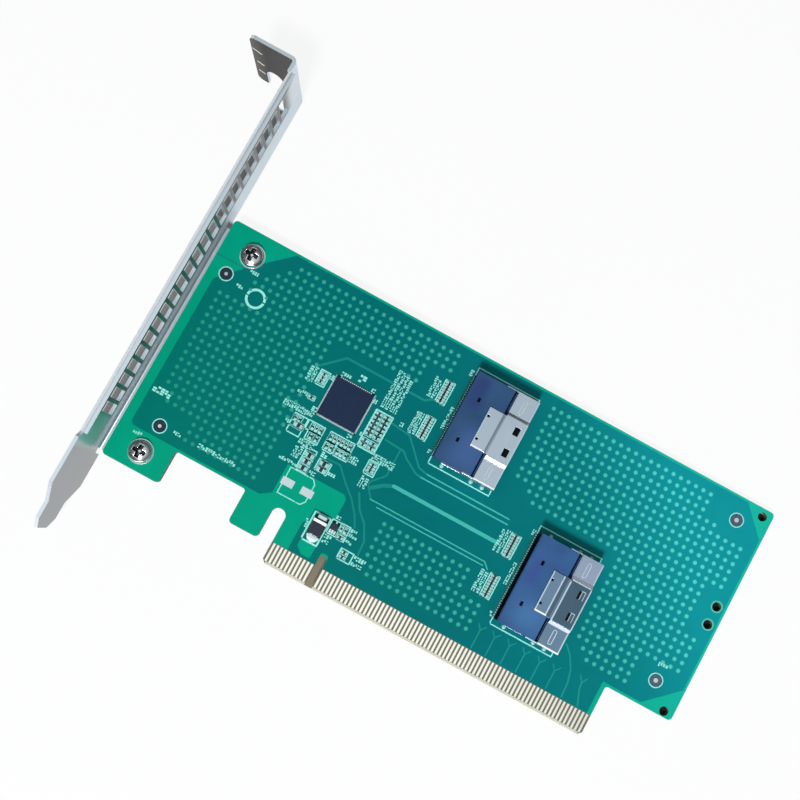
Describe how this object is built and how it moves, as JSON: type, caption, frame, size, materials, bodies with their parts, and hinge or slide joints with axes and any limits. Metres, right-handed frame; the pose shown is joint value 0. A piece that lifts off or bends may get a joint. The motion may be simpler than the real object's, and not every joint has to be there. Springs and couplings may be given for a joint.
{
  "type": "pcie adapter board",
  "caption": "Full-height expansion card: green board with an edge connector, vented slot bracket, two shielded cable sockets and a control chip.",
  "frame": {"origin": "middle of the key notch at the tip of the edge connector, on the component side of the board", "axes": "+X from the bracket to the far end, +Y from the edge contacts up the board, +Z out of the component side"},
  "size_m": [0.1604, 0.12, 0.0184],
  "materials": {
    "board": "semi gloss solder mask",
    "contacts": "gold plated",
    "bracket": "nickel plated",
    "screws": "bright nickel",
    "socket_plastic": "fine matt",
    "socket_shell": "tinned",
    "solder": "bright tin",
    "chip": "fine matt",
    "ceramic": "fired ceramic",
    "resistor": "glazed"
  },
  "bodies": {
    "root": {"circuit_board": "board", "edge_contacts_front": "contacts", "edge_contacts_back": "contacts", "bracket": "bracket", "bracket_screws": "screws", "socket_1_housing": "socket_plastic", "socket_1_shell": "socket_shell", "socket_1_upper_contacts": "contacts", "socket_1_lower_contacts": "contacts", "socket_2_housing": "socket_plastic", "socket_2_shell": "socket_shell", "socket_2_upper_contacts": "contacts", "socket_2_lower_contacts": "contacts", "socket_solder": "solder", "chip_body": "chip", "chip_leads": "solder", "chip_ground_pad": "solder", "diode_body": "chip", "diode_leads": "solder", "regulator_body": "chip", "regulator_leads": "solder", "chip_capacitors": "ceramic", "chip_resistors": "resistor", "tinned_pads": "solder"}
  },
  "joints": []
}
